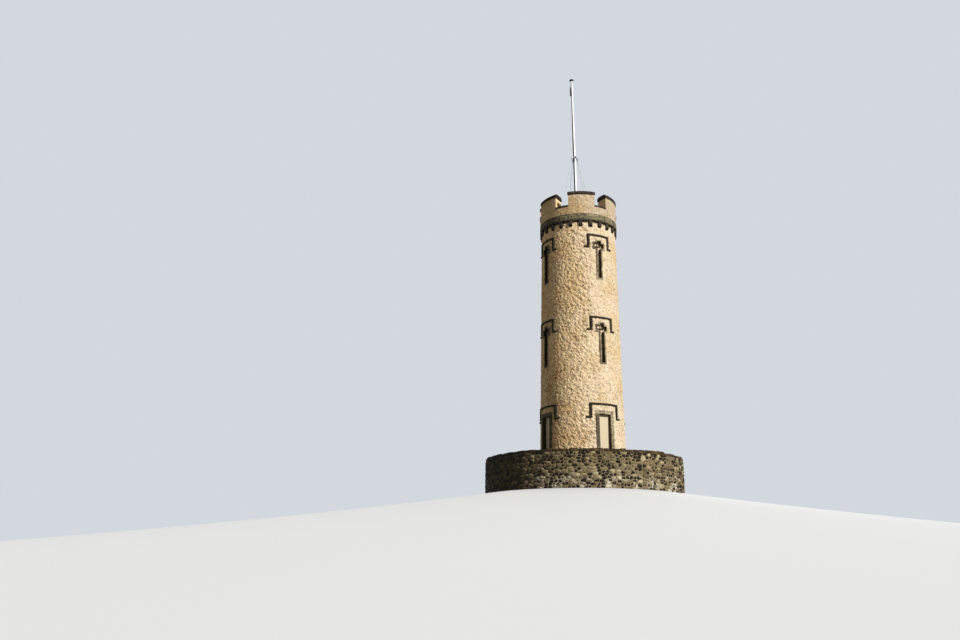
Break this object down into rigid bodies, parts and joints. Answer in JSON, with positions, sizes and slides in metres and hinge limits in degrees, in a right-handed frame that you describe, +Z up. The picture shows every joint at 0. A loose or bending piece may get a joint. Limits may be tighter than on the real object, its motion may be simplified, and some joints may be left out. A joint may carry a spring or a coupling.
{
  "type": "round castle tower",
  "caption": "round rendered castle tower on a walled terrace, with hooded blind doors, cross slits, corbelled battlement and a stayed flagpole",
  "frame": {"origin": "centre of the foot of the terrace wall, on the tower's axis", "axes": "+Z up the tower, -Y out through the front opening, +X out through the right one"},
  "size_m": [10.1498, 10.1498, 24.1098],
  "materials": {
    "rubble": "random rubble in lime mortar, weathered",
    "coping_rubble": "rough coping stones, dark and lichened",
    "fill": "rammed earth and stone fill",
    "paving": "worn stone flags",
    "render": "cream lime harling over rubble, lumpy",
    "panel_render": "smooth pale lime render",
    "trim_stone": "dark weathered sandstone",
    "surround_stone": "weathered sandstone",
    "band_stone": "weathered grey-brown sandstone with lichen",
    "timber": "sawn pine",
    "roof_felt": "grey mineral roof covering",
    "pole_paint": "white gloss paint",
    "pole_fittings": "dark weathered fittings",
    "stay_wire": "galvanised wire rope"
  },
  "bodies": {
    "root": {"terrace_wall_front_right": "rubble", "terrace_wall_back_right": "rubble", "terrace_wall_back_left": "rubble", "terrace_wall_front_left": "rubble", "terrace_coping": "coping_rubble", "terrace_fill": "fill", "tower_footing": "rubble", "terrace_paving": "paving", "ground_wall_front_right": "render", "ground_wall_back_right": "render", "ground_wall_back_left": "render", "ground_wall_front_left": "render", "first_wall_front_right": "render", "first_wall_back_right": "render", "first_wall_back_left": "render", "first_wall_front_left": "render", "second_wall_front_right": "render", "second_wall_back_right": "render", "second_wall_back_left": "render", "second_wall_front_left": "render", "door_surrounds": "surround_stone", "blind_panels": "panel_render", "door_hoods": "trim_stone", "first_slit_surrounds": "surround_stone", "second_slit_surrounds": "surround_stone", "slit_hoods": "trim_stone", "ground_floor": "paving", "first_floor_joists": "timber", "first_floor_boards": "timber", "second_floor_joists": "timber", "second_floor_boards": "timber", "roof_joists": "timber", "roof_deck": "roof_felt", "corbels": "trim_stone", "stone_band": "band_stone", "parapet_wall": "render", "merlons": "render", "merlon_copings": "trim_stone", "crenel_sills": "trim_stone", "pole_socket": "pole_fittings", "flagpole": "pole_paint", "pole_truck": "pole_fittings", "halyard_weight": "pole_fittings", "stay_collar": "pole_fittings", "pole_stays": "stay_wire"}
  },
  "joints": []
}
